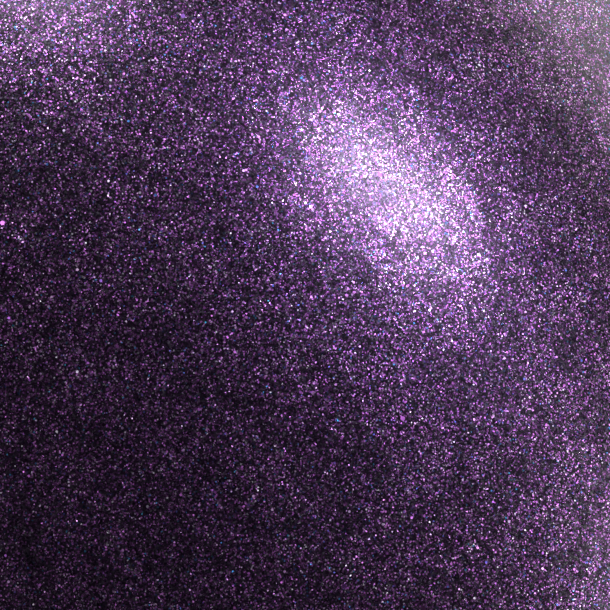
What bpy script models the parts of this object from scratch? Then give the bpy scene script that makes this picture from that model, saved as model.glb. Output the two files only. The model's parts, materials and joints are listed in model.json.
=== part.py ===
"""Juggling club: a dowel core, a padded and wrapped handle, and a hollow body in a glitter film.

The club stands on its knob, its axis along +Z and the knob's end face at z = 0. Lengths are in metres.
Every round piece is a profile of (radius, height) points turned about the axis. A profile runs down
its outer side, from top to bottom, and then back up its inner side.
"""

import math

import bmesh
import bpy
from mathutils import Matrix, Vector

MM = 0.001
SIDES = 32  # of each large turned piece
SMALL_SIDES = 16  # of screws, washers and pins
GAP = 0.3 * MM  # left between pieces that touch

# Driving dimensions.
LENGTH = 520 * MM
BODY_RADIUS = 46 * MM
BODY_BOTTOM = 206 * MM
BODY_TOP = 500 * MM
FLARE_BOTTOM = 222 * MM  # the neck is straight below this
WIDEST = 408 * MM
NECK_RADIUS = 13.2 * MM
SHOULDER_LENGTH = 97.2 * MM  # where the shoulder's curve would meet the axis, above the widest ring
SHOULDER_POWER = 3.0  # 2 is an ellipse, and more is blunter
BODY_WALL = 1.3 * MM
BODY_MOUTH_RADIUS = 9.9 * MM

DOWEL_RADIUS = 7.0 * MM
DOWEL_BOTTOM = 12.3 * MM
DOWEL_TOP = 502.3 * MM
DOWEL_CHAMFER = 0.8 * MM
PILOT_RADIUS = 2.3 * MM
PILOT_DEPTH = 30 * MM

SLEEVE_TOP = 236 * MM
SLEEVE_TAPER_TOP = 200 * MM
SLEEVE_RADIUS_LOW = 9.6 * MM
SLEEVE_RADIUS_HIGH = 11.0 * MM
SLEEVE_WALL = 1.2 * MM

GRIP_BOTTOM = 29 * MM
PADDING = 1.0 * MM
PADDING_TOP = 198 * MM
WRAP = 0.5 * MM
WRAP_TOP = 204 * MM
TAPE = 0.35 * MM
WRAP_END_TAPE = (30 * MM, 40 * MM)  # lowest and highest
NECK_TAPE = (197 * MM, 217 * MM)
FILM = 0.4 * MM
FILM_BOTTOM = 244 * MM
FILM_TOP = 495.5 * MM
LOWER_TRIM = (239 * MM, 250 * MM)
UPPER_TRIM = (492.3 * MM, 497.7 * MM)

KNOB_RADIUS = 18.5 * MM
KNOB_WIDEST = 7 * MM
KNOB_TOP = 28 * MM
KNOB_LIP_RADIUS = 12.2 * MM
KNOB_FOOT_RADIUS = 14.5 * MM
KNOB_WEB = (5 * MM, 12 * MM)  # the wall between the screw's recess and the handle's socket
KNOB_SOCKET_RADIUS = 10.1 * MM

CAP_BOTTOM = 502.6 * MM
CAP_RADIUS = 23.6 * MM
CAP_END_RADIUS = 13.5 * MM
CAP_POWER = 2.2
CAP_SEAT = 514 * MM  # the floor of the screw's recess

SCREW_RADIUS = 2.0 * MM
SCREW_LENGTH = 34 * MM
SCREW_TIP = 5 * MM
SCREW_HEAD_RADIUS = 3.9 * MM
SCREW_HEAD = 2.4 * MM
SCREW_HOLE_RADIUS = 2.6 * MM
SCREW_RECESS_RADIUS = 7.2 * MM
DRIVE_SLOT = (1.1 * MM, 4.4 * MM, 1.4 * MM)  # width, span and depth of the cross in the head
WASHER_RADIUS = 6.8 * MM
WASHER = 1.0 * MM

NECK_BUSH = (215 * MM, 235 * MM)  # lowest and highest
HANDLE_END_BUSH = (DOWEL_BOTTOM, DOWEL_BOTTOM + 16 * MM)
TOP_BUSH_DEPTH = 12 * MM  # below the body's top
BUSH_FLANGE_RADIUS = 13 * MM
BUSH_FLANGE = 1.5 * MM
GASKET_RADIUS = 22 * MM
GASKET = 2.0 * MM

PIN_COUNT = 4
PIN_HEIGHT = 227 * MM
PIN_RADIUS = 0.8 * MM
PIN_TIP_AT = 3.8 * MM  # its distance from the axis
PIN_POINT = 1.5 * MM
PIN_HEAD_RADIUS = 2.1 * MM
PIN_HEAD = 0.9 * MM
PIN_HOLE_RADIUS = PIN_RADIUS + GAP
PIN_HOLE_REACH = 20 * MM  # from the axis, so past the neck's wall
PIN_HOLE_SIDES = 10


# Materials: colour, roughness, metallic.
FINISHES = {
    "beech": ((0.62, 0.42, 0.24), 0.6, 0.0),
    "black_polyethylene": ((0.014, 0.012, 0.018), 0.38, 0.0),
    "natural_polyethylene": ((0.75, 0.75, 0.72), 0.45, 0.0),
    "purple_glitter": ((0.22, 0.10, 0.28), 0.3, 0.7),
    "grip_foam": ((0.09, 0.09, 0.1), 0.9, 0.0),
    "silver_wrap": ((0.62, 0.62, 0.65), 0.32, 0.8),
    "purple_tape": ((0.16, 0.03, 0.24), 0.3, 0.3),
    "black_rubber": ((0.02, 0.02, 0.022), 0.7, 0.0),
    "white_nylon": ((0.8, 0.79, 0.75), 0.5, 0.0),
    "zinc_steel": ((0.6, 0.61, 0.63), 0.3, 1.0),
}


def clear_scene():
    for obj in list(bpy.data.objects):
        bpy.data.objects.remove(obj)


def material(name):
    """The material of that name, made the first time it is asked for."""
    if name in bpy.data.materials:
        return bpy.data.materials[name]
    colour, roughness, metallic = FINISHES[name]
    made = bpy.data.materials.new(name)
    made.use_nodes = True
    shader = made.node_tree.nodes["Principled BSDF"]
    shader.inputs["Base Color"].default_value = (*colour, 1)
    shader.inputs["Roughness"].default_value = roughness
    shader.inputs["Metallic"].default_value = metallic
    return made


def add_object(name, mesh, collection, finish=None):
    obj = bpy.data.objects.new(name, mesh)
    collection.objects.link(obj)
    if finish:
        mesh.materials.append(material(finish))
    return obj


def turned(name, profile, finish, collection, sides=SIDES, ring=True):
    """A profile of (radius, height) points turned about the axis. A ring's last point joins its first."""
    mesh = bpy.data.meshes.new(name)
    edges = [(i, i + 1) for i in range(len(profile) - 1)]
    if ring:
        edges.append((len(profile) - 1, 0))
    mesh.from_pydata([(r, 0, z) for r, z in profile], edges, [])
    obj = add_object(name, mesh, collection, finish)
    screw = obj.modifiers.new("turn", "SCREW")
    screw.axis = "Z"
    screw.steps = screw.render_steps = sides
    screw.use_merge_vertices = True
    screw.merge_threshold = 1e-5
    screw.use_smooth_shade = True
    return obj


def shell(name, profile, wall, finish, collection):
    """An open profile turned about the axis, with its wall added on the inside."""
    obj = turned(name, profile, finish, collection, ring=False)
    solidify = obj.modifiers.new("wall", "SOLIDIFY")
    solidify.thickness = wall
    solidify.offset = -1
    solidify.use_even_offset = True
    return obj


def cut(obj, cutter):
    boolean = obj.modifiers.new("cut", "BOOLEAN")
    boolean.operation = "DIFFERENCE"
    boolean.object = cutter


def tube(low, high, inner, outer):
    """The profile of a plain ring. Inner and outer are radii, or functions of the height."""
    r_in = inner if callable(inner) else lambda z: inner
    r_out = outer if callable(outer) else lambda z: outer
    return [(r_out(high), high), (r_out(low), low), (r_in(low), low), (r_in(high), high)]


def arc(centre, radius, start, end, steps):
    """Points on a circle in the profile's plane. Angles are in degrees, from the radius towards +Z."""
    angles = [math.radians(start + (end - start) * i / steps) for i in range(steps + 1)]
    return [(centre[0] + radius * math.cos(a), centre[1] + radius * math.sin(a)) for a in angles]


def levels(high, low, step):
    """Heights from high down to low, evenly spaced and at most a step apart."""
    count = math.ceil((high - low) / step)
    return [high + (low - high) * i / count for i in range(count + 1)]


def body_radius(z):
    """The moulded body's outer radius: a straight neck, a cosine flare and a blunt shoulder."""
    if z > WIDEST:
        share = (z - WIDEST) / SHOULDER_LENGTH
        return BODY_RADIUS * (1 - share**SHOULDER_POWER) ** (1 / SHOULDER_POWER)
    share = max(0, (z - FLARE_BOTTOM) / (WIDEST - FLARE_BOTTOM))
    return NECK_RADIUS + (BODY_RADIUS - NECK_RADIUS) * (1 - math.cos(math.pi * share)) / 2


def over_body(z, clear):
    """The profile point this far out from the body's surface, square to it."""
    step = 0.1 * MM
    slope = (body_radius(z + step) - body_radius(z - step)) / (2 * step)
    out = Vector((1, -slope)).normalized() * clear
    return (body_radius(z) + out.x, z + out.y)


def body_levels(high, low):
    """Heights for a profile on the body, closer together on the shoulder, where it curves most."""
    flare_step, shoulder_step = 14 * MM, 5 * MM
    above = levels(high, WIDEST, shoulder_step) if high > WIDEST else []
    below = levels(min(high, WIDEST), low, flare_step) if low < WIDEST else []
    return above + below[1 if above else 0 :]


def sleeve_radius(z):
    """The handle sleeve's outer radius, which grows towards the body and is straight in its neck."""
    share = min(1, (z - DOWEL_BOTTOM) / (SLEEVE_TAPER_TOP - DOWEL_BOTTOM))
    return SLEEVE_RADIUS_LOW + (SLEEVE_RADIUS_HIGH - SLEEVE_RADIUS_LOW) * share


def over_sleeve(clear):
    return lambda z: sleeve_radius(z) + clear


def dowel(collection, pin_cutter):
    """The beech rod that the whole club is built on, with a blind pilot hole in each end."""
    lowest, highest = DOWEL_BOTTOM, DOWEL_TOP
    profile = [
        (0, highest - PILOT_DEPTH),
        (PILOT_RADIUS, highest - PILOT_DEPTH),
        (PILOT_RADIUS, highest),
        (DOWEL_RADIUS - DOWEL_CHAMFER, highest),
        (DOWEL_RADIUS, highest - DOWEL_CHAMFER),
        (DOWEL_RADIUS, lowest + DOWEL_CHAMFER),
        (DOWEL_RADIUS - DOWEL_CHAMFER, lowest),
        (PILOT_RADIUS, lowest),
        (PILOT_RADIUS, lowest + PILOT_DEPTH),
        (0, lowest + PILOT_DEPTH),
    ]
    obj = turned("dowel", profile, "beech", collection, ring=False)
    cut(obj, pin_cutter)


def handle(collection, pin_cutter):
    """The flexible sleeve on its two bushes, its padding, and the wound wrap over it."""
    sleeve = turned(
        "handle_sleeve",
        [(sleeve_radius(z), z) for z in (SLEEVE_TOP, SLEEVE_TAPER_TOP, DOWEL_BOTTOM)]
        + [(sleeve_radius(z) - SLEEVE_WALL, z) for z in (DOWEL_BOTTOM, SLEEVE_TAPER_TOP, SLEEVE_TOP)],
        "natural_polyethylene",
        collection,
    )
    cut(sleeve, pin_cutter)

    bore = DOWEL_RADIUS + GAP
    neck_bush = turned(
        "neck_bush",
        tube(*NECK_BUSH, bore, over_sleeve(-SLEEVE_WALL - GAP)),
        "white_nylon",
        collection,
    )
    cut(neck_bush, pin_cutter)
    turned(
        "handle_end_bush",
        tube(*HANDLE_END_BUSH, bore, SLEEVE_RADIUS_LOW - SLEEVE_WALL - GAP),
        "white_nylon",
        collection,
    )

    pad_in = GAP
    wrap_in = pad_in + PADDING + GAP
    tape_in = wrap_in + WRAP + GAP
    turned(
        "grip_padding",
        tube(GRIP_BOTTOM, PADDING_TOP, over_sleeve(pad_in), over_sleeve(pad_in + PADDING)),
        "grip_foam",
        collection,
    )
    turned(
        "handle_wrap",
        tube(GRIP_BOTTOM, WRAP_TOP, over_sleeve(wrap_in), over_sleeve(wrap_in + WRAP)),
        "silver_wrap",
        collection,
    )
    turned(
        "wrap_end_tape",
        tube(*WRAP_END_TAPE, over_sleeve(tape_in), over_sleeve(tape_in + TAPE)),
        "purple_tape",
        collection,
    )


def knob(collection):
    """The soft end stop: a cup on the handle's end, with a recess below for the screw and washer."""
    side = []
    for z in levels(KNOB_TOP, KNOB_WIDEST, 3 * MM):
        share = (z - KNOB_WIDEST) / (KNOB_TOP - KNOB_WIDEST)
        swell = (1 + math.cos(math.pi * share)) / 2
        side.append((KNOB_LIP_RADIUS + (KNOB_RADIUS - KNOB_LIP_RADIUS) * swell, z))
    rounding = [
        (KNOB_FOOT_RADIUS + (KNOB_RADIUS - KNOB_FOOT_RADIUS) * c, KNOB_WIDEST * (1 + s))
        for c, s in arc((0, 0), 1, 0, -90, 5)[1:]
    ]
    inside = [
        (SCREW_RECESS_RADIUS, 0),
        (SCREW_RECESS_RADIUS, KNOB_WEB[0]),
        (SCREW_HOLE_RADIUS, KNOB_WEB[0]),
        (SCREW_HOLE_RADIUS, KNOB_WEB[1]),
        (KNOB_SOCKET_RADIUS, KNOB_WEB[1]),
        (KNOB_SOCKET_RADIUS, KNOB_TOP),
    ]
    turned("knob", side + rounding + inside, "black_rubber", collection)


def body(collection, pin_cutter):
    """The hollow moulded body. Its flat top is the cap's seat, round the mouth that holds the top bush."""
    outline = [(BODY_MOUTH_RADIUS, BODY_TOP)]
    outline += [(body_radius(z), z) for z in body_levels(BODY_TOP, BODY_BOTTOM)]
    obj = shell("body_shell", outline, BODY_WALL, "black_polyethylene", collection)
    cut(obj, pin_cutter)


def decoration(collection):
    """The glitter film on the body, and the tapes that hold down its two edges and hide the neck joint."""
    film_out = GAP + FILM
    tape_out = film_out + GAP + TAPE
    film_profile = [over_body(z, film_out) for z in body_levels(FILM_TOP, FILM_BOTTOM)]
    shell("glitter_film", film_profile, FILM, "purple_glitter", collection)
    for name, (low, high) in (("lower_trim_tape", LOWER_TRIM), ("upper_trim_tape", UPPER_TRIM)):
        profile = [over_body(z, tape_out) for z in levels(high, low, 2 * MM)]
        shell(name, profile, TAPE, "silver_wrap", collection)
    inner = NECK_RADIUS + GAP
    turned("neck_tape", tube(*NECK_TAPE, inner, inner + TAPE), "purple_tape", collection)


def top_end(collection):
    """The bush that centres the dowel in the body's mouth, the gasket and the soft cap."""
    flange_low = BODY_TOP + GAP
    flange_high = flange_low + BUSH_FLANGE
    bush_outer = BODY_MOUTH_RADIUS - GAP
    bore = DOWEL_RADIUS + GAP
    turned(
        "top_bush",
        [
            (BUSH_FLANGE_RADIUS, flange_high),
            (BUSH_FLANGE_RADIUS, flange_low),
            (bush_outer, flange_low),
            (bush_outer, BODY_TOP - TOP_BUSH_DEPTH),
            (bore, BODY_TOP - TOP_BUSH_DEPTH),
            (bore, flange_high),
        ],
        "white_nylon",
        collection,
    )
    turned(
        "cap_gasket",
        tube(BODY_TOP + GAP, BODY_TOP + GAP + GASKET, BUSH_FLANGE_RADIUS + GAP, GASKET_RADIUS),
        "grip_foam",
        collection,
    )

    height = LENGTH - CAP_BOTTOM
    rim = CAP_RADIUS - CAP_END_RADIUS
    dome = []
    for angle in range(90, -1, -15):
        along = math.sin(math.radians(angle)) ** (2 / CAP_POWER)
        across = math.cos(math.radians(angle)) ** (2 / CAP_POWER)
        dome.append((CAP_END_RADIUS + rim * across, CAP_BOTTOM + height * along))
    inside = [
        (SCREW_HOLE_RADIUS, CAP_BOTTOM),
        (SCREW_HOLE_RADIUS, CAP_SEAT),
        (SCREW_RECESS_RADIUS, CAP_SEAT),
        (SCREW_RECESS_RADIUS, LENGTH),
    ]
    turned("top_cap", dome + inside, "black_rubber", collection)


def screw_and_washer(end, seat, outward, collection, cutters):
    """One end's washer and cross-recessed screw. Outward is +1 at the cap and -1 at the knob."""

    def along(distance):
        return seat + outward * distance

    def facing(profile):
        # A profile drawn outwards from the seat is turned end for end at the knob.
        points = [(r, along(d)) for r, d in profile]
        return points if outward > 0 else points[::-1]

    washer_low, washer_high = GAP, GAP + WASHER
    turned(
        f"{end}_washer",
        facing(tube(washer_low, washer_high, PILOT_RADIUS, WASHER_RADIUS)),
        "zinc_steel",
        collection,
        SMALL_SIDES,
    )

    under_head = washer_high + GAP
    dome = [
        (SCREW_HEAD_RADIUS * math.cos(a), under_head + SCREW_HEAD * (0.35 + 0.65 * math.sin(a)))
        for a in (math.radians(d) for d in (90, 60, 35, 15, 0))
    ]
    dome[0] = (0, dome[0][1])
    shank_end = under_head - SCREW_LENGTH
    profile = dome + [
        (SCREW_HEAD_RADIUS, under_head),
        (SCREW_RADIUS, under_head),
        (SCREW_RADIUS, shank_end + SCREW_TIP),
        (0, shank_end),
    ]
    screw = turned(f"{end}_screw", facing(profile), "zinc_steel", collection, SMALL_SIDES, ring=False)

    width, span, depth = DRIVE_SLOT
    top = under_head + SCREW_HEAD
    for name, size in (("x", (span, width)), ("y", (width, span))):
        mesh = bpy.data.meshes.new(f"{end}_slot_{name}")
        bm = bmesh.new()
        scale = Matrix.Diagonal((*size, 2 * depth, 1))
        bmesh.ops.create_cube(bm, size=1, matrix=Matrix.Translation((0, 0, along(top))) @ scale)
        bm.to_mesh(mesh)
        bm.free()
        cut(screw, add_object(mesh.name, mesh, cutters))


def radial_rods(name, near, far, collection):
    """The pins' holes: rods that stand out from the axis at the pins' height, one for each pin."""
    bm = bmesh.new()
    for i in range(PIN_COUNT):
        out = Matrix.Rotation(2 * math.pi * i / PIN_COUNT, 4, "Z") @ Matrix.Rotation(math.pi / 2, 4, "Y")
        place = Matrix.Translation((0, 0, PIN_HEIGHT)) @ out @ Matrix.Translation((0, 0, (near + far) / 2))
        bmesh.ops.create_cone(
            bm,
            cap_ends=True,
            segments=PIN_HOLE_SIDES,
            radius1=PIN_HOLE_RADIUS,
            radius2=PIN_HOLE_RADIUS,
            depth=far - near,
            matrix=place,
        )
    mesh = bpy.data.meshes.new(name)
    bm.to_mesh(mesh)
    bm.free()
    return add_object(name, mesh, collection)


def pins(collection):
    """The round-headed pins that fix the body's neck through the sleeve and bush to the dowel."""
    head_at = NECK_RADIUS + GAP
    length = head_at - PIN_TIP_AT
    profile = [
        (0, PIN_HEAD),
        (PIN_HEAD_RADIUS * 0.6, PIN_HEAD * 0.8),
        (PIN_HEAD_RADIUS, PIN_HEAD * 0.2),
        (PIN_HEAD_RADIUS, 0),
        (PIN_RADIUS, 0),
        (PIN_RADIUS, PIN_POINT - length),
        (0, -length),
    ]
    for i in range(PIN_COUNT):
        name = f"neck_pin_{i + 1}"
        obj = turned(name, profile, "zinc_steel", collection, SMALL_SIDES, ring=False)
        angle = 2 * math.pi * i / PIN_COUNT
        obj.location = (head_at * math.cos(angle), head_at * math.sin(angle), PIN_HEIGHT)
        obj.rotation_euler = (0, math.pi / 2, angle)


def main():
    clear_scene()
    parts = bpy.data.collections.new("juggling_club")
    cutters = bpy.data.collections.new("cutters")
    for collection in (parts, cutters):
        bpy.context.scene.collection.children.link(collection)

    pin_cutter = radial_rods("pin_holes", PIN_TIP_AT - GAP, PIN_HOLE_REACH, cutters)
    dowel(parts, pin_cutter)
    handle(parts, pin_cutter)
    knob(parts)
    body(parts, pin_cutter)
    decoration(parts)
    top_end(parts)
    screw_and_washer("knob", KNOB_WEB[0], -1, parts, cutters)
    screw_and_washer("cap", CAP_SEAT, 1, parts, cutters)
    pins(parts)
    for helper in cutters.objects:
        helper.hide_render = True
        helper.display_type = "WIRE"


main()
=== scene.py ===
"""Looks for the juggling club, in metres. Heights and radii are the CAD's, or lie just inside them.

Most pieces are outlines of (radius, height) points turned about the club's axis, with laps, steps, seams
and windings added as they are turned. The main camera is close to the glitter film on the body's shoulder.
"""

import json
import math
import random
from collections import namedtuple

import bpy
from mathutils import Matrix, Vector

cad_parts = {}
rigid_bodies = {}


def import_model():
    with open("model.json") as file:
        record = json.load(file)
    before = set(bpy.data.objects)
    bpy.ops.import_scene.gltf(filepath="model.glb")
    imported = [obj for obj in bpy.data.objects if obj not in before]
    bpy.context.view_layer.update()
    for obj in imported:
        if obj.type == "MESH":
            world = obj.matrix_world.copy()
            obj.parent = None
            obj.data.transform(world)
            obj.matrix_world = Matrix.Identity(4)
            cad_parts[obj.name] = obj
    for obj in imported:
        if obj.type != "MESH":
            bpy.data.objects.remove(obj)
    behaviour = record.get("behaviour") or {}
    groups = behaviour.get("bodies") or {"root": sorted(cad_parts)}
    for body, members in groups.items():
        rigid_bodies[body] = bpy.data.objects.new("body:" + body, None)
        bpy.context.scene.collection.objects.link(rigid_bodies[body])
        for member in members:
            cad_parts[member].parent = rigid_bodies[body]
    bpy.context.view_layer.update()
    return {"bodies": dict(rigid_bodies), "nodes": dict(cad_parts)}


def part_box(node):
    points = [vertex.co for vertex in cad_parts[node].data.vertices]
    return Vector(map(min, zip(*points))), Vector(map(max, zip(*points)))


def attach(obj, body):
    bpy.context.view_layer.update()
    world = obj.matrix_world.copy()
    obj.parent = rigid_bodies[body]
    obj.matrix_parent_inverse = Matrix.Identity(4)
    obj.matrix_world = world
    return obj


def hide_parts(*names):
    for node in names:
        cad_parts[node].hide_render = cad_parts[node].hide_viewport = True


MM = 0.001
TURN = 2 * math.pi

# The body's outline, as the CAD has it.
BODY_RADIUS = 46 * MM
WIDEST = 408 * MM
FLARE_BOTTOM = 222 * MM  # the neck is straight below this
NECK_RADIUS = 13.2 * MM
SHOULDER_LENGTH = 97.2 * MM  # where the shoulder's curve would meet the axis, above the widest ring
SHOULDER_POWER = 3.0
BODY_WALL = 1.3 * MM
BODY_MOUTH_RADIUS = 9.9 * MM

# The handle's sleeve, and how far out of it the wrap's surface lies.
SLEEVE_RADIUS = (9.6 * MM, 11.0 * MM)
SLEEVE_TAPER = (12.3 * MM, 200 * MM)
WRAP_CLEAR = 1.95 * MM

# Lowest and highest, a little inside the CAD's.
FILM = (244.2 * MM, 495.3 * MM)
LOWER_TRIM = (239.3 * MM, 249.7 * MM)
UPPER_TRIM = (492.4 * MM, 497.5 * MM)
WRAP = (29.3 * MM, 203.6 * MM)
WRAP_END_TAPE = (30.1 * MM, 39.9 * MM)
NECK_TAPE = (197.2 * MM, 216.8 * MM)

FILM_CLEAR = 0.30 * MM
FILM_THICK = 0.22 * MM
WRAP_PITCH = 15 * MM
WRAP_EDGE = 0.30  # how far up each turn the next one's edge lies
LAP_ANGLE = math.radians(152)  # where the film ends on itself

# Both ends' screws.
SCREW_HOLE_RADIUS = 2.6 * MM
SCREW_RECESS_RADIUS = 7.2 * MM
SCREW_HEAD_RADIUS = 3.9 * MM
SCREW_HEAD = 2.4 * MM

PIN_COUNT = 4
PIN_HEIGHT = 227 * MM
PIN_TIP_AT = 3.8 * MM  # its distance from the axis

FLOOR_RADIUS = 1.5
NEAR_LIGHT_AWAY = 0.7  # from the main camera's part of the film

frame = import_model()
ROOT = next(iter(frame["bodies"]))


# ---------------------------------------------------------------- material nodes


class Graph:
    """One material and the nodes that drive its Principled shader."""

    def __init__(self, name, **constants):
        self.material = bpy.data.materials.new(name)
        self.material.use_nodes = True
        self.tree = self.material.node_tree
        self.shader = self.tree.nodes["Principled BSDF"]
        self.place = self.add("ShaderNodeTexCoord").outputs["Object"]
        for key, value in constants.items():
            self.feed(key.replace("_", " ").title().replace("Ior", "IOR"), value)

    def add(self, kind, **settings):
        node = self.tree.nodes.new(kind)
        for key, value in settings.items():
            setattr(node, key, value)
        return node

    def wire(self, socket, value):
        """Links a socket, or sets it to a number, vector or colour."""
        if isinstance(value, bpy.types.NodeSocket):
            self.tree.links.new(value, socket)
        elif socket.type == "RGBA" and len(value) == 3:
            socket.default_value = (*value, 1)
        else:
            socket.default_value = value

    def feed(self, name, value):
        self.wire(self.shader.inputs[name], value)

    def calc(self, operation, *values, clamp=False):
        node = self.add("ShaderNodeMath", operation=operation, use_clamp=clamp)
        for socket, value in zip(node.inputs, values):
            self.wire(socket, value)
        return node.outputs[0]

    def times(self, a, b):
        return self.calc("MULTIPLY", a, b)

    def vector(self, operation, *values):
        node = self.add("ShaderNodeVectorMath", operation=operation)
        for socket, value in zip(node.inputs, values):
            self.wire(socket, value)
        return node.outputs[0]

    def vector_length(self, vector):
        node = self.add("ShaderNodeVectorMath", operation="LENGTH")
        self.wire(node.inputs[0], vector)
        return node.outputs["Value"]

    def scaled(self, vector, scale):
        node = self.add("ShaderNodeVectorMath", operation="SCALE")
        self.wire(node.inputs[0], vector)
        self.wire(node.inputs["Scale"], scale)
        return node.outputs[0]

    def stretched(self, vector, factors):
        return self.vector("MULTIPLY", vector, factors)

    def split(self, vector):
        node = self.add("ShaderNodeSeparateXYZ")
        self.wire(node.inputs[0], vector)
        return node.outputs

    def remap(self, value, low, high, to_low=0.0, to_high=1.0, smooth=False):
        node = self.add("ShaderNodeMapRange", interpolation_type="SMOOTHSTEP" if smooth else "LINEAR")
        for key, number in (("From Min", low), ("From Max", high), ("To Min", to_low), ("To Max", to_high)):
            node.inputs[key].default_value = number
        self.wire(node.inputs["Value"], value)
        return node.outputs[0]

    def mix(self, factor, a, b, blend="MIX"):
        """Between two colours."""
        node = self.add("ShaderNodeMix", data_type="RGBA", blend_type=blend)
        self.wire(node.inputs["Factor"], factor)
        self.wire(node.inputs[6], a)
        self.wire(node.inputs[7], b)
        return node.outputs[2]

    def mix_vectors(self, factor, a, b):
        node = self.add("ShaderNodeMix", data_type="VECTOR")
        self.wire(node.inputs["Factor"], factor)
        self.wire(node.inputs[4], a)
        self.wire(node.inputs[5], b)
        return node.outputs[1]

    def ramp(self, value, stops):
        """Stops are (position, colour) pairs."""
        node = self.add("ShaderNodeValToRGB")
        elements = node.color_ramp.elements
        while len(elements) < len(stops):
            elements.new(0.5)
        for element, (position, colour) in zip(elements, stops):
            element.position = position
            element.color = (*colour, 1)
        self.wire(node.inputs[0], value)
        return node.outputs[0]

    def noise(self, scale, detail=2.0, roughness=0.5, where=None, distortion=0.0):
        node = self.add("ShaderNodeTexNoise")
        self.wire(node.inputs["Vector"], where or self.place)
        for key, number in (("Scale", scale), ("Detail", detail), ("Roughness", roughness)):
            node.inputs[key].default_value = number
        node.inputs["Distortion"].default_value = distortion
        return node.outputs[0]

    def cells(self, scale, where=None, feature="F1"):
        node = self.add("ShaderNodeTexVoronoi", feature=feature)
        self.wire(node.inputs["Vector"], where or self.place)
        node.inputs["Scale"].default_value = scale
        return node.outputs

    def white(self, vector):
        """Random (value, colour) outputs for each different vector."""
        node = self.add("ShaderNodeTexWhiteNoise", noise_dimensions="3D")
        self.wire(node.inputs["Vector"], vector)
        return node.outputs

    def around(self, radius):
        """Coordinates in metres on the surface of a turned piece: round it, up it and out of it."""
        x, y, z = self.split(self.place)
        angle = self.calc("ARCTAN2", y, x)
        out = self.calc("SQRT", self.calc("ADD", self.times(x, x), self.times(y, y)))
        node = self.add("ShaderNodeCombineXYZ")
        for socket, value in zip(node.inputs, (self.times(angle, radius), z, out)):
            self.wire(socket, value)
        return node.outputs[0]

    def bump(self, height, distance, strength=1.0, normal=None):
        node = self.add("ShaderNodeBump")
        node.inputs["Strength"].default_value = strength
        node.inputs["Distance"].default_value = distance
        self.wire(node.inputs["Height"], height)
        if normal:
            self.wire(node.inputs["Normal"], normal)
        return node.outputs[0]


# ---------------------------------------------------------------- materials


def flake_layer(g, pitch, share, lean, size):
    """One size of flake: (where it is, its tilt, its own random colour). Lean is a tilt's usual size."""
    cell = g.cells(1 / pitch)
    own = g.white(cell["Color"])
    shape = g.remap(cell["Distance"], size, size * 0.8, smooth=True)
    present = g.calc("LESS_THAN", own["Value"], share)
    # Minus the logarithm of three random numbers: most flakes lie nearly flat, and a few stand well up.
    one, two, three = g.split(g.white(own["Color"])["Color"])
    product = g.calc("MAXIMUM", g.times(g.times(one, two), three), 1e-5)
    spread = g.times(g.calc("LOGARITHM", product, math.e), -lean)
    centred = g.vector("MULTIPLY_ADD", cell["Color"], (2, 2, 2), (-1, -1, -1))
    return g.times(shape, present), g.scaled(centred, spread), own["Color"]


def glitter_film():
    """Metal flakes of three sizes, each tilted its own way, in a black binder under a clear coat."""
    g = Graph("purple_glitter_film", coat_weight=0.45, coat_roughness=0.22, coat_ior=1.5)
    binder = (0.004, 0.002, 0.005)
    metal, tilt, own = flake_layer(g, 0.060 * MM, 0.66, 0.030, 0.66)
    coarse = flake_layer(g, 0.12 * MM, 0.10, 0.036, 0.5)
    spark = flake_layer(g, 0.6 * MM, 0.04, 0.05, 0.18)
    for where, larger_tilt, larger_own in (coarse, spark):
        metal = g.calc("MAXIMUM", metal, where)
        tilt = g.mix_vectors(where, tilt, larger_tilt)
        own = g.mix_vectors(where, own, larger_own)
    _, hue, brightness = g.split(own)
    teal_to_pale_pink = [
        (0.0, (0.03, 0.30, 0.42)),
        (0.035, (0.10, 0.14, 0.48)),
        (0.09, (0.25, 0.09, 0.34)),
        (0.30, (0.40, 0.13, 0.42)),
        (0.62, (0.58, 0.20, 0.60)),
        (0.90, (0.66, 0.38, 0.72)),
        (1.0, (0.80, 0.70, 0.88)),
    ]
    shade = g.remap(g.calc("POWER", brightness, 2.6), 0, 1, 0.10, 2.0)
    tint = g.mix(1.0, g.ramp(hue, teal_to_pale_pink), shade, "MULTIPLY")
    clumps = g.remap(g.noise(460, 3, 0.75), 0.36, 0.64, 0.5, 1.6)
    tint = g.vector("MINIMUM", g.mix(1.0, tint, clumps, "MULTIPLY"), (0.92, 0.92, 0.92))
    g.feed("Base Color", g.mix(metal, binder, tint))
    g.feed("Metallic", g.times(metal, 0.98))
    # The steeper a flake, the rougher it is, so the highlight fades out softly.
    roughness = g.calc("MULTIPLY_ADD", brightness, 0.08, 0.12)
    g.feed("Roughness", g.calc("MULTIPLY_ADD", g.vector_length(tilt), 1.2, roughness, clamp=True))
    flat = g.bump(g.noise(800, 2), 0.045 * MM)
    g.feed("Normal", g.vector("NORMALIZE", g.vector("ADD", flat, tilt)))
    return g.material


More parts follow.
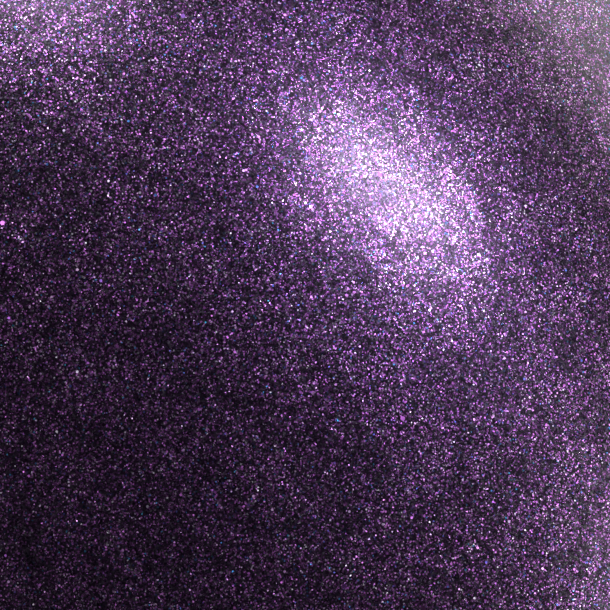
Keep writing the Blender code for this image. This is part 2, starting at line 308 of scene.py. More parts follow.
def moulded_black():
    """Blow-moulded polyethylene: a satin skin with a faint ripple, fine scratches and dust."""
    g = Graph("moulded_black_polyethylene", coat_weight=0.25, coat_roughness=0.3)
    dark, light = (0.010, 0.009, 0.013), (0.020, 0.017, 0.025)
    scratched, dusty = (0.07, 0.065, 0.08), (0.2, 0.19, 0.2)
    ripple = g.noise(160, 2)
    skin = g.noise(2600, 3, 0.6)
    scratches = g.noise(900, 4, 0.65, g.stretched(g.around(NECK_RADIUS), (0.15, 1.6, 1)))
    scratch = g.remap(scratches, 0.62, 0.7, smooth=True)
    dust = g.remap(g.noise(340, 5, 0.7), 0.58, 0.8)
    colour = g.mix(g.remap(ripple, 0.3, 0.7), dark, light)
    colour = g.mix(g.times(scratch, 0.35), colour, scratched)
    g.feed("Base Color", g.mix(g.times(dust, 0.12), colour, dusty))
    g.feed("Roughness", g.calc("MULTIPLY_ADD", dust, 0.2, g.remap(skin, 0.2, 0.8, 0.26, 0.4)))
    normal = g.bump(ripple, 0.10 * MM)
    normal = g.bump(skin, 0.012 * MM, normal=normal)
    g.feed("Normal", g.bump(scratch, -0.01 * MM, normal=normal))
    return g.material


def wound_vinyl():
    """Pearl-silver handle tape: embossed, grimy where the hand goes, with painted shade, partly dirt, in
    the crease below each lap's edge and a painted highlight, partly wear, along the edge.
    """
    g = Graph("pearl_silver_handle_vinyl", coat_weight=0.3, coat_roughness=0.25)
    shaded_and_dirty, highlit_and_worn, flecked = (0.12, 0.11, 0.12), (0.86, 0.84, 0.88), (0.95, 0.93, 1.0)
    grimy, scuffed = (0.30, 0.27, 0.27), (0.36, 0.35, 0.36)
    surface = g.around(12.5 * MM)
    emboss = g.cells(1500, g.stretched(surface, (1, 1, 0)), "SMOOTH_F1")["Distance"]
    pearl = g.noise(500, 4, 0.6, g.stretched(surface, (1, 0.5, 1)))
    flecks = g.white(g.cells(4200)["Color"])["Value"]
    x, y, height = g.split(g.place)
    hand = g.times(g.remap(height, 0.03, 0.07, smooth=True), g.remap(height, 0.19, 0.13, smooth=True))
    grime = g.times(g.remap(g.noise(95, 5, 0.65), 0.45, 0.72), hand)
    scuffs = g.noise(700, 4, 0.7, g.stretched(surface, (1.6, 0.3, 1)))
    scuff = g.remap(scuffs, 0.63, 0.7, smooth=True)
    # The winding's own coordinate: the share of a turn past each lap's edge.
    turns = g.calc("DIVIDE", g.calc("SUBTRACT", height, WRAP[0]), WRAP_PITCH)
    angle = g.calc("DIVIDE", g.calc("ARCTAN2", y, x), TURN)
    past = g.calc("SUBTRACT", g.calc("FRACT", g.calc("SUBTRACT", turns, angle)), WRAP_EDGE)
    # Painted shade, partly dirt, in the crease just below each lap's edge; then a painted highlight, partly
    # wear, along the edge itself.
    shade_and_dirt = g.times(g.remap(past, 0.012, 0.03, smooth=True), g.remap(past, 0.13, 0.04, smooth=True))
    highlight_and_wear = g.times(g.remap(past, -0.04, -0.01, smooth=True), g.remap(past, 0.014, 0.0, smooth=True))
    silver = [(0.25, (0.38, 0.37, 0.42)), (0.55, (0.52, 0.51, 0.56)), (0.8, (0.68, 0.66, 0.71))]
    colour = g.ramp(pearl, silver)
    # The crease's painted shade and the edge's painted highlight go on here.
    colour = g.mix(g.times(shade_and_dirt, 0.62), colour, shaded_and_dirty)
    colour = g.mix(g.times(highlight_and_wear, 0.45), colour, highlit_and_worn)
    colour = g.mix(g.remap(flecks, 0.9, 1.0, 0, 0.5), colour, flecked)
    colour = g.mix(g.times(grime, 0.38), colour, grimy)
    g.feed("Base Color", g.mix(g.times(scuff, 0.4), colour, scuffed))
    g.feed("Metallic", g.calc("SUBTRACT", 0.62, g.times(grime, 0.3)))
    g.feed("Roughness", g.calc("ADD", g.calc("MULTIPLY_ADD", grime, 0.2, 0.3), g.times(scuff, 0.15)))
    normal = g.bump(emboss, 0.05 * MM, 0.6)
    g.feed("Normal", g.bump(g.noise(240, 3), 0.06 * MM, normal=normal))
    return g.material


def tape(name, dark, light, metallic, radius):
    """Stretched vinyl tape: lines along the way it was pulled, a mottled gloss and small scuffs."""
    g = Graph(name, coat_weight=0.3, coat_roughness=0.2)
    scuffed = (0.5, 0.48, 0.52)
    surface = g.around(radius)
    pulled = g.noise(1400, 4, 0.6, g.stretched(surface, (0.04, 1, 1)))
    mottle = g.noise(380, 4, 0.6)
    scuffs = g.noise(1100, 4, 0.7, g.stretched(surface, (1, 0.35, 1)))
    scuff = g.remap(scuffs, 0.64, 0.7, smooth=True)
    colour = g.mix(g.remap(pulled, 0.3, 0.7), dark, light)
    colour = g.mix(g.remap(mottle, 0.35, 0.75, 0, 0.35), colour, dark)
    g.feed("Base Color", g.mix(g.times(scuff, 0.3), colour, scuffed))
    g.feed("Metallic", metallic)
    g.feed("Roughness", g.calc("MULTIPLY_ADD", scuff, 0.2, g.remap(mottle, 0.3, 0.7, 0.26, 0.42)))
    normal = g.bump(pulled, 0.02 * MM)
    g.feed("Normal", g.bump(g.noise(210, 2), 0.05 * MM, normal=normal))
    return g.material


def foam_rubber(name, lands_from, lands_to):
    """Closed-cell foam rubber: a skin of small cells, paler and rougher towards the end that lands."""
    g = Graph(name)
    dark, light = (0.009, 0.009, 0.010), (0.020, 0.019, 0.021)
    landed_on, chipped = (0.075, 0.072, 0.072), (0.2, 0.19, 0.185)
    cells = g.cells(1 / (0.35 * MM))
    pits = g.remap(cells["Distance"], 0.15, 0.6)
    tone = g.split(cells["Color"])[0]
    clouds = g.noise(150, 5, 0.65)
    height = g.split(g.place)[2]
    landed = g.times(g.remap(height, lands_from, lands_to, smooth=True), g.remap(clouds, 0.38, 0.66))
    chips = g.remap(g.noise(900, 5, 0.7), 0.6, 0.68, smooth=True)
    colour = g.mix(g.remap(clouds, 0.3, 0.7), dark, light)
    colour = g.mix(g.times(tone, 0.3), colour, light)
    colour = g.mix(g.times(landed, 0.42), colour, landed_on)
    g.feed("Base Color", g.mix(g.times(chips, g.times(landed, 0.5)), colour, chipped))
    g.feed("Roughness", g.calc("MULTIPLY_ADD", landed, 0.18, g.remap(clouds, 0.3, 0.7, 0.55, 0.7)))
    normal = g.bump(pits, 0.05 * MM, 0.7)
    g.feed("Normal", g.bump(g.noise(420, 3), 0.06 * MM, normal=normal))
    return g.material


def plated_steel():
    """Bright zinc plate: turned lines, a faint yellow and blue cast, and dull spots."""
    g = Graph("zinc_plated_steel", metallic=1.0)
    dull = (0.26, 0.24, 0.22)
    cast = g.noise(600, 3)
    spots = g.remap(g.noise(1500, 5, 0.7), 0.58, 0.7, smooth=True)
    lines = g.noise(2600, 3, 0.6, g.stretched(g.around(4 * MM), (0.05, 1, 1)))
    plate = [(0.3, (0.46, 0.48, 0.52)), (0.5, (0.55, 0.54, 0.52)), (0.7, (0.50, 0.46, 0.39))]
    colour = g.ramp(cast, plate)
    g.feed("Base Color", g.mix(g.times(spots, 0.4), colour, dull))
    g.feed("Roughness", g.calc("MULTIPLY_ADD", spots, 0.25, g.remap(lines, 0.3, 0.7, 0.3, 0.44)))
    g.feed("Normal", g.bump(lines, 0.012 * MM))
    return g.material


def recess_shade_steel():
    """The screws' cross recess, darkened as painted shade, with a mottle of noise in it."""
    g = Graph("painted_shade_recess_steel")
    # Painted shade: the whole recess is dark steel, and this noise only mottles it.
    shade_and_dirt = g.remap(g.noise(2200, 5, 0.7), 0.35, 0.65)
    g.feed("Base Color", g.mix(shade_and_dirt, (0.035, 0.032, 0.030), (0.12, 0.11, 0.10)))
    g.feed("Metallic", g.remap(shade_and_dirt, 0, 1, 0.2, 0.7))
    g.feed("Roughness", g.remap(shade_and_dirt, 0, 1, 0.75, 0.5))
    g.feed("Normal", g.bump(shade_and_dirt, 0.02 * MM))
    return g.material


def beech():
    """Beech rod: long grain up the rod, fine flecks and open pores."""
    g = Graph("beech", coat_weight=0.1)
    fleck_brown = (0.30, 0.16, 0.08)
    grain = g.noise(420, 6, 0.6, g.stretched(g.place, (1, 1, 0.05)), 0.6)
    flecks = g.remap(g.noise(2600, 2, 0.5, g.stretched(g.place, (1, 1, 0.12))), 0.6, 0.72, smooth=True)
    wood = [(0.3, (0.44, 0.27, 0.14)), (0.5, (0.60, 0.40, 0.23)), (0.7, (0.70, 0.50, 0.31))]
    colour = g.ramp(grain, wood)
    g.feed("Base Color", g.mix(g.times(flecks, 0.55), colour, fleck_brown))
    g.feed("Roughness", g.remap(grain, 0.3, 0.7, 0.45, 0.62))
    g.feed("Normal", g.bump(g.calc("ADD", grain, flecks), 0.05 * MM))
    return g.material


def plain_plastic(name, dark, light, roughness):
    """Moulded nylon or polyethylene that is never on show: a cloudy tone and a fine skin."""
    g = Graph(name)
    clouds = g.noise(260, 4, 0.6)
    skin = g.noise(2400, 3, 0.6)
    g.feed("Base Color", g.mix(g.remap(clouds, 0.3, 0.7), dark, light))
    g.feed("Roughness", g.remap(skin, 0.3, 0.7, roughness, roughness + 0.15))
    g.feed("Normal", g.bump(skin, 0.02 * MM))
    return g.material


def foam():
    """Open foam of the padding and the gasket."""
    g = Graph("grey_foam")
    cells = g.cells(2600)
    g.feed("Base Color", g.mix(g.split(cells["Color"])[1], (0.045, 0.045, 0.05), (0.11, 0.11, 0.12)))
    g.feed("Roughness", g.remap(g.noise(900, 3), 0.3, 0.7, 0.82, 0.95))
    g.feed("Normal", g.bump(cells["Distance"], 0.12 * MM))
    return g.material


def studio_floor():
    g = Graph("pale_floor")
    clouds = g.noise(1.7, 4, 0.6)
    g.feed("Base Color", g.mix(g.remap(clouds, 0.3, 0.7), (0.55, 0.55, 0.555), (0.60, 0.60, 0.605)))
    g.feed("Roughness", g.remap(g.noise(45, 4, 0.6), 0.3, 0.7, 0.6, 0.72))
    g.feed("Normal", g.bump(g.noise(900, 3, 0.6), 0.08 * MM, 0.4))
    return g.material


GLITTER = glitter_film()
BLACK = moulded_black()
SILVER_WRAP = wound_vinyl()
SILVER_TAPE = tape("silver_trim_tape", (0.36, 0.35, 0.40), (0.60, 0.59, 0.64), 0.8, 30 * MM)
PURPLE_TAPE = tape("purple_trim_tape", (0.10, 0.018, 0.17), (0.22, 0.05, 0.33), 0.35, 13 * MM)
KNOB_RUBBER = foam_rubber("black_knob_rubber", 16 * MM, 2 * MM)
CAP_RUBBER = foam_rubber("black_cap_rubber", 505 * MM, 519 * MM)
STEEL = plated_steel()
RECESS_SHADE_STEEL = recess_shade_steel()
BEECH = beech()
NYLON = plain_plastic("white_nylon", (0.72, 0.71, 0.66), (0.84, 0.83, 0.79), 0.38)
POLYETHYLENE = plain_plastic("natural_polyethylene", (0.66, 0.67, 0.64), (0.78, 0.79, 0.76), 0.34)
FOAM = foam()


# ---------------------------------------------------------------- outlines


def body_radius(z):
    if z > WIDEST:
        share = (z - WIDEST) / SHOULDER_LENGTH
        return BODY_RADIUS * (1 - share**SHOULDER_POWER) ** (1 / SHOULDER_POWER)
    share = max(0, (z - FLARE_BOTTOM) / (WIDEST - FLARE_BOTTOM))
    return NECK_RADIUS + (BODY_RADIUS - NECK_RADIUS) * (1 - math.cos(math.pi * share)) / 2


def over_body(z, clear):
    """(radius, height) this far out from the body's surface, square to it."""
    step = 0.1 * MM
    slope = (body_radius(z + step) - body_radius(z - step)) / (2 * step)
    out = Vector((1, -slope)).normalized() * clear
    return (body_radius(z) + out.x, z + out.y)


def wrap_radius(z):
    low, high = SLEEVE_TAPER
    share = min(1, max(0, (z - low) / (high - low)))
    return SLEEVE_RADIUS[0] + (SLEEVE_RADIUS[1] - SLEEVE_RADIUS[0]) * share + WRAP_CLEAR


def steps(start, end, spacing):
    """Numbers from start to end, no further apart than the spacing."""
    count = max(1, math.ceil(abs(end - start) / spacing))
    return [start + (end - start) * i / count for i in range(count + 1)]


def bell(distance, width):
    """1 at no distance, falling smoothly to nothing past the width."""
    return math.exp(-((distance / width) ** 2))


def rounded(corners, size, pieces=5):
    """A closed outline with its corners curved. Size is a length, or one for each corner."""
    sizes = [size] * len(corners) if isinstance(size, float) else size
    out = []
    for i, (corner, reach) in enumerate(zip(corners, sizes)):
        if not reach:
            out.append(tuple(corner))
            continue
        here = Vector(corner)
        before = Vector(corners[i - 1]) - here
        after = Vector(corners[(i + 1) % len(corners)]) - here
        a = here + before.normalized() * min(reach, before.length / 2)
        b = here + after.normalized() * min(reach, after.length / 2)
        for k in range(pieces + 1):
            t = k / pieces
            out.append(tuple(a * (1 - t) ** 2 + here * 2 * t * (1 - t) + b * t**2))
    return out


def even_angles(count):
    return [TURN * i / count for i in range(count)]


def angles_with(count, places, reach, extra):
    """Even angles, with more of them near some places."""
    found = set(even_angles(count))
    for place in places:
        found |= {(place + reach * (2 * i / extra - 1)) % TURN for i in range(extra + 1)}
    ordered = sorted(found)
    return [a for a, b in zip(ordered, ordered[1:] + [ordered[0] + TURN]) if b - a > 1e-5]


# ---------------------------------------------------------------- meshes


def make_piece(name, vertices, faces, finish, node, sharp=32):
    """A smooth-shaded piece that rides with the club and stands for that CAD node."""
    mesh = bpy.data.meshes.new(name)
    mesh.from_pydata(vertices, [], faces)
    mesh.materials.append(finish)
    mesh.validate()
    mesh.shade_smooth()
    mesh.set_sharp_from_angle(angle=math.radians(sharp))
    obj = bpy.data.objects.new(name, mesh)
    bpy.context.scene.collection.objects.link(obj)
    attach(obj, ROOT)
    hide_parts(node)
    return obj


def ring_mesh(outline, angles, shape=None):
    """Vertices and faces of a closed outline turned about +Z.

    Shape gives a point's (radius, height) from its radius, height, angle and number in the outline.
    """
    count = len(outline)
    vertices = []
    for angle in angles:
        cos, sin = math.cos(angle), math.sin(angle)
        for i, (r, z) in enumerate(outline):
            if shape:
                r, z = shape(r, z, angle, i)
            vertices.append((r * cos, r * sin, z))
    faces = []
    for j in range(len(angles)):
        here, there = j * count, (j + 1) % len(angles) * count
        for i in range(count):
            k = (i + 1) % count
            faces.append((here + i, here + k, there + k, there + i))
    return vertices, faces


def open_ring_faces(count, sides):
    """Faces between the rows of an open outline of that many points, turned right round."""
    faces = []
    for j in range(sides):
        here, there = j * count, (j + 1) % sides * count
        faces += [(here + i, here + i + 1, there + i + 1, there + i) for i in range(count - 1)]
    return faces


def mould_lines(height, width, raised):
    """A shape for ring_mesh: the line two mould halves leave down each side, on the raised points."""

    def shape(r, z, angle, i):
        if i not in raised:
            return r, z
        return r + height * bell(abs(math.sin(angle)) * r, width), z

    return shape


def lap_rise(angle, radius, width, start=LAP_ANGLE):
    """How far up a lap a point is, from 0 to 1: a cut edge on one side, a slope down on the other."""
    edge, slope = 0.05 * MM, 2.2 * MM
    along = ((angle - start + math.pi) % TURN - math.pi) * radius
    if along < 0:
        return 0.0
    if along < edge:
        return along / edge
    if along < width:
        return 1.0
    return max(0.0, 1 - (along - width) / slope) ** 2


# ---------------------------------------------------------------- body, film and trims


def body_piece():
    """The moulded body, with its mould lines."""
    low, high = (corner.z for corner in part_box("body_shell"))
    lip = 0.3 * MM
    outer = [over_body(z, 0) for z in steps(high - lip, low, 2.0 * MM)]
    inner = [over_body(z, -BODY_WALL) for z in steps(low + lip, high - BODY_WALL - lip, 4.0 * MM)]
    rim = [(BODY_MOUTH_RADIUS, high), (body_radius(high) - 0.4 * MM, high)]
    outline = rim + outer + inner + [(BODY_MOUTH_RADIUS, high - BODY_WALL)]
    raised = range(len(rim), len(rim) + len(outer))
    angles = angles_with(224, (0, math.pi), 0.12, 40)
    vertices, faces = ring_mesh(outline, angles, mould_lines(0.16 * MM, 0.35 * MM, raised))
    make_piece("club_body", vertices, faces, BLACK, "body_shell")


def film_piece():
    """The glitter film: one sheet shrunk on to the body, lapped down the back."""
    low, high = FILM
    lap, lap_width, least_radius = 0.16 * MM, 5 * MM, 10 * MM
    outer = [over_body(z, FILM_CLEAR + FILM_THICK) for z in steps(high, low, 1.5 * MM)]
    inner = [over_body(z, FILM_CLEAR) for z in steps(low, high, 3.0 * MM)]

    def lapped(r, z, angle, i):
        if i >= len(outer):
            return r, z
        return r + lap * lap_rise(angle, max(r, least_radius), lap_width), z

    slope_start, slope_angle, pieces = LAP_ANGLE + 0.08, 0.3, 40
    slope = {(slope_start + slope_angle * i / pieces) % TURN for i in range(pieces + 1)}
    angles = sorted(slope | set(angles_with(288, (LAP_ANGLE,), 0.010, 24)))
    vertices, faces = ring_mesh(outer + inner, angles, lapped)
    make_piece("glitter_wrap", vertices, faces, GLITTER, "glitter_film")


def trim_band(name, node, ends, seed):
    """A tape round the body, with a lapped end and edges that aren't quite even."""
    rng = random.Random(seed)
    phases = [rng.uniform(0, TURN) for _ in range(3)]
    low, high = ends
    inside, thick, lap, lap_width, sway = 0.78 * MM, 0.2 * MM, 0.18 * MM, 7 * MM, 0.12 * MM
    start = LAP_ANGLE + 0.35
    outer = [over_body(z, inside + thick) for z in steps(high, low, 0.8 * MM)]
    inner = [over_body(z, inside) for z in steps(low, high, 0.8 * MM)]

    def wavy(r, z, angle, i):
        wave = sum(math.sin(n * angle + p) / n for n, p in zip((2, 3, 5), phases))
        rise = lap * lap_rise(angle, r, lap_width, start) if i < len(outer) else 0
        return r + rise, z + sway * wave

    vertices, faces = ring_mesh(outer + inner, angles_with(224, (start,), 0.012, 24), wavy)
    make_piece(name, vertices, faces, SILVER_TAPE, node)


# ---------------------------------------------------------------- handle


def winding_piece():
    """The tape wound up the handle: each turn's upper edge lies over the turn before it."""
    rng = random.Random(7)
    low, high = WRAP
    lap, wall_thick, sides, rows_per_turn = 0.26 * MM, 0.3 * MM, 120, 40
    # As shares of a turn up, and of the lap.
    drop, dip_from, dip = 0.04, WRAP_EDGE + 0.06, 0.3
    rise = WRAP_PITCH / rows_per_turn
    rows = math.ceil((high - low) / rise) + rows_per_turn
    turn_laps = [lap * rng.uniform(0.85, 1.15) for _ in range(rows // rows_per_turn + 3)]
    profile = []
    for k in range(rows_per_turn):
        share = k / rows_per_turn
        edge = 1 if share < WRAP_EDGE else max(0, 1 - (share - WRAP_EDGE) / drop)
        past = max(0, (share - dip_from) / (1 - dip_from))
        profile.append(edge - dip * math.sin(math.pi * past))
    vertices, index = [], {}
    for k in range(-rows_per_turn, rows + 1):
        for j in range(sides):
            z = min(high, max(low, low + (k + rows_per_turn * j / sides) * rise))
            turn = (k + rows_per_turn) // rows_per_turn
            r = wrap_radius(z) + turn_laps[turn] * profile[k % rows_per_turn]
            angle = TURN * j / sides
            index[k, j] = len(vertices)
            vertices.append((r * math.cos(angle), r * math.sin(angle), z))
    faces = []
    for k in range(-rows_per_turn, rows):
        for j in range(sides):
            # One step past the last side is the first side, a whole turn up.
            up, side = (k, j + 1) if j < sides - 1 else (k + rows_per_turn, 0)
            quad = [(k, j), (up, side), (up + 1, side), (k + 1, j)]
            if all(corner in index for corner in quad):
                face = [index[corner] for corner in quad]
                heights = [vertices[v][2] for v in face]
                if max(heights) - min(heights) > 1e-7:
                    faces.append(face)
    obj = make_piece("handle_winding", vertices, faces, SILVER_WRAP, "handle_wrap", sharp=60)
    wall = obj.modifiers.new("wall", "SOLIDIFY")
    wall.thickness = wall_thick
    wall.offset = -1


def over_wrap(z):
    return wrap_radius(z) + 0.3 * MM


def over_neck(z):
    """The same radius at every height, as the neck is straight there."""
    return NECK_RADIUS + 0.32 * MM


def straight_band(name, node, ends, surface, layers, seed):
    """Tape wound flat on itself: a few layers whose edges don't quite line up."""
    rng = random.Random(seed)
    slips = [rng.uniform(0.2, 0.9) * MM for _ in range(layers)]
    low, high = ends
    layer, edge, sunk, lap, lap_width = 0.11 * MM, 0.03 * MM, 0.25 * MM, 0.10 * MM, 4 * MM
    start = LAP_ANGLE - 0.6
    outline = [(surface(high) - sunk, high)]
    r, z = surface(high) + 0.02 * MM, high
    for slip in slips:
        outline += [(r, z - edge), (r, z - slip)]
        z -= slip
        r += layer
    z = low + sum(slips)
    for slip in slips:
        r -= layer
        outline += [(r, z), (r, z - slip + edge)]
        z -= slip
    outline.append((surface(low) - sunk, low))

    def lapped(r, z, angle, i):
        if i in (0, len(outline) - 1):
            return r, z
        return r + lap * lap_rise(angle, r, lap_width, start), z

    vertices, faces = ring_mesh(outline, angles_with(144, (start,), 0.02, 16), lapped)
    make_piece(name, vertices, faces, PURPLE_TAPE, node)


def knob_piece():
    """The knob, with mould lines, a raised bead round its lip and a groove below it."""
    top, widest = 28 * MM, 7 * MM
    radius, lip_radius, foot_radius, socket_radius = 18.5 * MM, 12.2 * MM, 14.5 * MM, 10.6 * MM
    seat, web_top = 5 * MM, 12 * MM
    bead_at, groove_at = top - 2.6 * MM, top - 4.8 * MM
    side = []
    for z in steps(top, widest, 0.5 * MM):
        share = (z - widest) / (top - widest)
        r = lip_radius + (radius - lip_radius) * (1 + math.cos(math.pi * share)) / 2
        bead = 0.35 * MM * bell(z - bead_at, 0.9 * MM)
        groove = 0.22 * MM * bell(z - groove_at, 0.45 * MM)
        side.append((r + bead - groove, z))
    side[0] = (side[0][0] - 0.5 * MM, top)
    foot, foot_steps = [], 14
    for i in range(1, foot_steps + 1):
        a = math.pi / 2 * i / foot_steps
        foot.append((foot_radius + (radius - foot_radius) * math.cos(a), widest * (1 - math.sin(a))))
    inside = rounded(
        [
            (SCREW_RECESS_RADIUS, 0),
            (SCREW_RECESS_RADIUS, seat),
            (SCREW_HOLE_RADIUS, seat),
            (SCREW_HOLE_RADIUS, web_top),
            (socket_radius, web_top),
            (socket_radius, top),
        ],
        [0.5 * MM, 0.3 * MM, 0, 0, 0, 0.3 * MM],
    )
    raised = range(len(side) + len(foot) - 2)
    angles = angles_with(160, (0, math.pi), 0.09, 28)
    vertices, faces = ring_mesh(side + foot + inside, angles, mould_lines(0.14 * MM, 0.35 * MM, raised))
    make_piece("end_knob", vertices, faces, KNOB_RUBBER, "knob")


# ---------------------------------------------------------------- cap and fastenings


def cap_piece():
    """The cap: a soft dome with mould lines, a shallow groove round it and the screw's recess on top."""
    low, top, seat = 502.6 * MM, 520 * MM, 514 * MM
    radius, end_radius, power, dome_steps = 23.6 * MM, 13.5 * MM, 2.2, 48
    groove_at = low + 4.6 * MM
    dome = []
    for i in range(dome_steps):
        a = math.pi / 2 * (1 - i / dome_steps)
        along, across = math.sin(a) ** (2 / power), math.cos(a) ** (2 / power)
        r, z = end_radius + (radius - end_radius) * across, low + (top - low) * along
        dome.append((r - 0.35 * MM * bell(z - groove_at, 0.5 * MM), z))
    dome += [(radius - 0.15 * MM, low + 0.5 * MM), (radius - 0.7 * MM, low)]
    inside = rounded(
        [
            (SCREW_HOLE_RADIUS, low),
            (SCREW_HOLE_RADIUS, seat),
            (SCREW_RECESS_RADIUS, seat),
            (SCREW_RECESS_RADIUS, top),
        ],
        [0, 0, 0.3 * MM, 0.6 * MM],
    )
    angles = angles_with(192, (0, math.pi), 0.08, 28)
    vertices, faces = ring_mesh(dome + inside, angles, mould_lines(0.1 * MM, 0.3 * MM, range(len(dome))))
    make_piece("end_cap", vertices, faces, CAP_RUBBER, "top_cap")


def flat_ring(name, node, finish, inner, rounding, pieces, sides):
    """A flat ring of its CAD node's height and width, with rounded edges."""
    lowest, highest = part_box(node)
    low, high, outer = lowest.z, highest.z, highest.x
    outline = rounded([(outer, high), (outer, low), (inner, low), (inner, high)], rounding, pieces)
    vertices, faces = ring_mesh(outline, even_angles(sides))
    make_piece(name, vertices, faces, finish, node)


def screw_piece(end, outward):
    """A dome-headed screw with a cross recess and a threaded shank. Outward is 1 where its head is up."""
    low, high = (corner.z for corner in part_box(f"{end}_screw"))
    under_head = high - SCREW_HEAD if outward > 0 else low + SCREW_HEAD
    rim_share, dome_steps, sides, ridge_half, point_share = 0.35, 40, 128, 0.3, 0.02
    shank, thread, pitch, taper_length = 1.55 * MM, 1.95 * MM, 1.4 * MM, 5 * MM
    cross, width, depth, end_slope = 2.2 * MM, 0.55 * MM, 1.3 * MM, 0.5 * MM
    tip = high - low - SCREW_HEAD
    dome = []
    for i in range(dome_steps + 1):
        r = SCREW_HEAD_RADIUS * i / dome_steps
        bulge = math.sqrt(max(0, 1 - (r / SCREW_HEAD_RADIUS) ** 2))
        dome.append((r, SCREW_HEAD * (rim_share + (1 - rim_share) * bulge)))
    rim = [(SCREW_HEAD_RADIUS - 0.1 * MM, 0.05 * MM), (SCREW_HEAD_RADIUS - 0.25 * MM, 0), (shank, 0)]
    shank_steps = steps(0, tip, 0.2 * MM)[1:]

    def in_cross(x, y):
        return min(abs(x), abs(y)) < width and max(abs(x), abs(y)) < cross

    vertices = []
    for j in range(sides):
        angle = TURN * j / sides
        cos, sin = math.cos(angle), math.sin(angle)
        ring = []
        for r, z in dome:
            if in_cross(r * cos, r * sin):
                z -= depth * min(1.0, (cross - max(abs(r * cos), abs(r * sin))) / end_slope)
            ring.append((r, z))
        ring += rim
        for step in shank_steps:
            taper = min(1.0, (tip - step) / taper_length)
            phase = (step / pitch - j / sides) % 1
            ridge = max(0, 1 - abs(phase - 0.5) / ridge_half)
            ring.append(((shank + (thread - shank) * ridge) * max(taper, point_share), -step))
        vertices += [(r * cos, r * sin, under_head + outward * z) for r, z in ring]
    faces = open_ring_faces(len(dome) + len(rim) + len(shank_steps), sides)
    if outward < 0:
        faces = [face[::-1] for face in faces]
    obj = make_piece(f"{end}_cross_screw", vertices, faces, STEEL, f"{end}_screw", sharp=40)
    # The faces inside the cross recess take the darker steel: painted shade in the recess.
    obj.data.materials.append(RECESS_SHADE_STEEL)
    for face in obj.data.polygons:
        above_shank = outward * (face.center.z - under_head) > -depth
        if above_shank and in_cross(face.center.x, face.center.y):
            face.material_index = 1


def pin_piece(number):
    """A round-headed pin with a slightly flattened, hammered dome."""
    rng = random.Random(number)
    head_at, radius, head, shank, point = NECK_RADIUS + 0.3 * MM, 2.1 * MM, 0.9 * MM, 0.8 * MM, 1.5 * MM
    rim_share, dome_steps, sides, dent_depth = 0.15, 14, 48, 0.05 * MM
    length = head_at - PIN_TIP_AT
    profile = []
    for i in range(dome_steps + 1):
        a = math.pi / 2 * i / dome_steps
        profile.append((radius * math.sin(a), head * (rim_share + (1 - rim_share) * math.cos(a) ** 0.8)))
    profile += [(radius - 0.05 * MM, 0.04 * MM), (radius - 0.15 * MM, 0), (shank, 0)]
    profile += [(shank, point - length), (0.01 * MM, -length)]
    dents = []
    for _ in range(5):
        dents.append((rng.uniform(0, TURN), rng.uniform(0.3, 1.2) * MM, rng.uniform(0.3, 0.6) * MM))
    round_neck = Matrix.Rotation(TURN * (number - 1) / PIN_COUNT, 4, "Z")
    outwards = Matrix.Rotation(math.pi / 2, 4, "Y")
    place = round_neck @ Matrix.Translation((head_at, 0, PIN_HEIGHT)) @ outwards
    vertices = []
    for j in range(sides):
        a = TURN * j / sides
        for i, (r, z) in enumerate(profile):
            x, y = r * math.cos(a), r * math.sin(a)
            if i < dome_steps:
                for way, out, size in dents:
                    away = math.hypot(x - out * math.cos(way), y - out * math.sin(way))
                    z -= dent_depth * bell(away, size)
            vertices.append(place @ Vector((x, y, z)))
    faces = open_ring_faces(len(profile), sides)
    make_piece(f"neck_tack_{number}", vertices, faces, STEEL, f"neck_pin_{number}")


def dress_cad_nodes():
    """The pieces inside the club keep their CAD shape and get their own materials."""
    finishes = {
        "dowel": BEECH,
        "handle_sleeve": POLYETHYLENE,
        "grip_padding": FOAM,
        "handle_end_bush": NYLON,
        "neck_bush": NYLON,
        "top_bush": NYLON,
    }
    for node, finish in finishes.items():
        for place in frame["nodes"][node].material_slots:
            place.material = finish


# ---------------------------------------------------------------- stage


def aim(obj, target):
    obj.rotation_mode = "QUATERNION"
    obj.rotation_quaternion = (Vector(target) - obj.location).to_track_quat("-Z", "Y")


def area_light(name, place, target, size, power, colour=(1, 1, 1), roll=0.0, spread=math.pi):
    data = bpy.data.lights.new(name, "AREA")
    data.shape = "RECTANGLE"
    data.size, data.size_y = size
    data.energy = power
    data.color = colour
    data.spread = spread
    light = bpy.data.objects.new(name, data)
    bpy.context.scene.collection.objects.link(light)
    light.location = place
    aim(light, target)
    light.rotation_quaternion = light.rotation_quaternion @ Matrix.Rotation(roll, 3, "Z").to_quaternion()
    light.visible_camera = False


def sky_light():
    """A wide, even light from above."""
    data = bpy.data.lights.new("sky", "SUN")
    data.energy = 2.0
    data.angle = math.radians(25)
    light = bpy.data.objects.new("sky", data)
    bpy.context.scene.collection.objects.link(light)
    light.location = (0, 0, 3)
    aim(light, (0.35, 0.3, 0))


# A place on the film, and the directions out of it and to the right and up in the picture there.
Spot = namedtuple("Spot", "point outward right up")


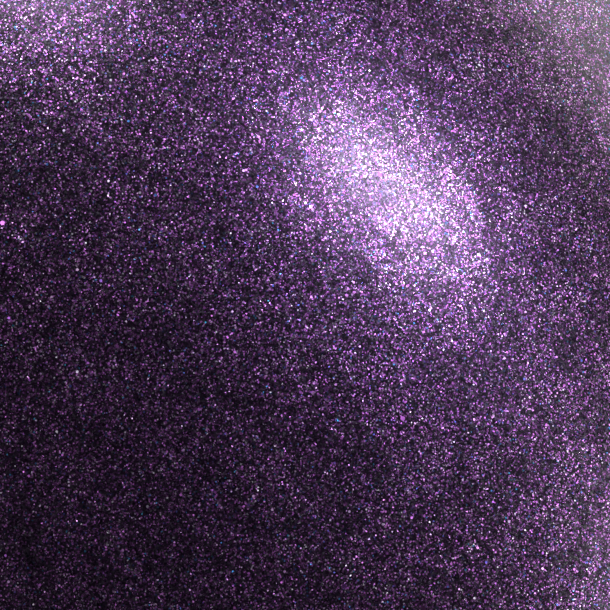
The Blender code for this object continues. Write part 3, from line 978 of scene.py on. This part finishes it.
def main_camera(azimuth, height, span, distance, nearest, lean):
    """The close camera, square to the film at one Spot, which it returns.

    Azimuth and height place the spot on the body. Span is the picture's width there, and nearest is how
    far right and up of the picture's middle the spot shows, as shares of that width.
    """
    heading = Vector((math.sin(azimuth), -math.cos(azimuth), 0))
    r, z = over_body(height, FILM_CLEAR + FILM_THICK)
    r_above, z_above = over_body(height + 0.5 * MM, FILM_CLEAR + FILM_THICK)
    upward = (heading * (r_above - r) + Vector((0, 0, z_above - z))).normalized()
    sideways = Vector((math.cos(azimuth), math.sin(azimuth), 0))
    spot = Spot(
        point=heading * r + Vector((0, 0, z)),
        outward=sideways.cross(upward).normalized(),
        right=sideways * math.cos(lean) - upward * math.sin(lean),
        up=sideways * math.sin(lean) + upward * math.cos(lean),
    )
    data = bpy.data.cameras.new("camera")
    data.sensor_width = 36
    data.lens = data.sensor_width * distance / span
    data.clip_start = 0.002
    data.clip_end = 50
    camera = bpy.data.objects.new("camera", data)
    bpy.context.scene.collection.objects.link(camera)
    bpy.context.scene.camera = camera
    eye = spot.point + spot.outward * distance
    middle = spot.point - spot.right * nearest[0] * span - spot.up * nearest[1] * span
    back = (eye - middle).normalized()
    side = spot.up.cross(back).normalized()
    axes = Matrix((side, back.cross(side), back)).transposed().to_4x4()
    camera.matrix_world = Matrix.Translation(eye) @ axes
    return spot


def near_light(spot, name, tilt, across, size, power, colour, **shape):
    """A light on the spot. Tilt is in degrees from straight out of the film towards across (right, up)."""
    tilt = math.radians(tilt)
    sideways = (spot.right * across[0] + spot.up * across[1]).normalized()
    way = spot.outward * math.cos(tilt) + sideways * math.sin(tilt)
    area_light(name, spot.point + way * NEAR_LIGHT_AWAY, spot.point, size, power, colour, **shape)


def pale_floor():
    """A round floor just under the knob, so that the two surfaces don't coincide."""
    mesh = bpy.data.meshes.new("floor")
    rim = [(FLOOR_RADIUS * math.cos(a), FLOOR_RADIUS * math.sin(a), 0) for a in even_angles(96)]
    mesh.from_pydata(rim, [], [range(len(rim))])
    mesh.materials.append(studio_floor())
    floor = bpy.data.objects.new("floor", mesh)
    floor.location.z = -0.02 * MM
    bpy.context.scene.collection.objects.link(floor)


def studio_world():
    """Pale where the camera sees it, and almost dark as a light."""
    world = bpy.data.worlds.new("studio")
    bpy.context.scene.world = world
    world.use_nodes = True
    nodes, links = world.node_tree.nodes, world.node_tree.links
    pale = nodes["Background"]
    pale.inputs["Color"].default_value = (0.80, 0.80, 0.805, 1)
    pale.inputs["Strength"].default_value = 0.86
    dim = nodes.new("ShaderNodeBackground")
    dim.inputs["Color"].default_value = (1.0, 0.9, 0.9, 1)
    dim.inputs["Strength"].default_value = 0.006
    path = nodes.new("ShaderNodeLightPath")
    both = nodes.new("ShaderNodeMixShader")
    links.new(path.outputs["Is Camera Ray"], both.inputs[0])
    links.new(dim.outputs[0], both.inputs[1])
    links.new(pale.outputs[0], both.inputs[2])
    links.new(both.outputs[0], nodes["World Output"].inputs["Surface"])


# ---------------------------------------------------------------- the club

body_piece()
film_piece()
trim_band("lower_trim", "lower_trim_tape", LOWER_TRIM, seed=3)
trim_band("upper_trim", "upper_trim_tape", UPPER_TRIM, seed=5)
winding_piece()
straight_band("wrap_end_binding", "wrap_end_tape", WRAP_END_TAPE, over_wrap, layers=3, seed=11)
straight_band("neck_binding", "neck_tape", NECK_TAPE, over_neck, layers=2, seed=13)
knob_piece()
cap_piece()
flat_ring("cap_foam_ring", "cap_gasket", FOAM, inner=13.4 * MM, rounding=0.8 * MM, pieces=8, sides=160)
for end, outward in (("knob", -1), ("cap", 1)):
    names = (f"{end}_flat_washer", f"{end}_washer")
    flat_ring(*names, STEEL, inner=2.3 * MM, rounding=0.22 * MM, pieces=4, sides=96)
    screw_piece(end, outward)
for number in range(1, PIN_COUNT + 1):
    pin_piece(number)
dress_cad_nodes()

# ---------------------------------------------------------------- camera and lights

pale_floor()
studio_world()
spot = main_camera(
    azimuth=math.radians(25),
    height=472 * MM,
    span=23 * MM,
    distance=95 * MM,
    nearest=(-0.297, -0.257),
    lean=math.radians(21),
)

# The key makes the highlight. The others stand for the room that the film dimly reflects.
near_light(spot, "key", 48, (0.79, 0.61), (0.17, 0.02), 1.4, (0.76, 0.62, 1.0), roll=math.radians(-50))
near_light(spot, "upper_haze", 70, (-0.05, 1.0), (0.7, 0.3), 5.2, (0.86, 0.78, 1.0))
near_light(
    spot, "right_haze", 74, (1.0, -0.22), (0.3, 0.5), 0.78, (0.92, 0.85, 1.0), spread=math.radians(90)
)
near_light(spot, "lower_haze", 46, (-0.92, -0.4), (0.25, 0.5), 0.22, (0.95, 0.88, 1.0))
sky_light()
centre = (0, 0, 0.26)
area_light("left_softbox", (-1.7, -0.4, 0.7), centre, (1.5, 1.7), 17)
area_light("right_softbox", (1.4, 1.2, 0.7), centre, (1.4, 1.7), 15)
area_light("back_softbox", (-0.8, 1.7, 0.7), centre, (1.5, 1.7), 14)

bpy.context.scene.view_settings.view_transform = "Standard"
bpy.context.view_layer.update()
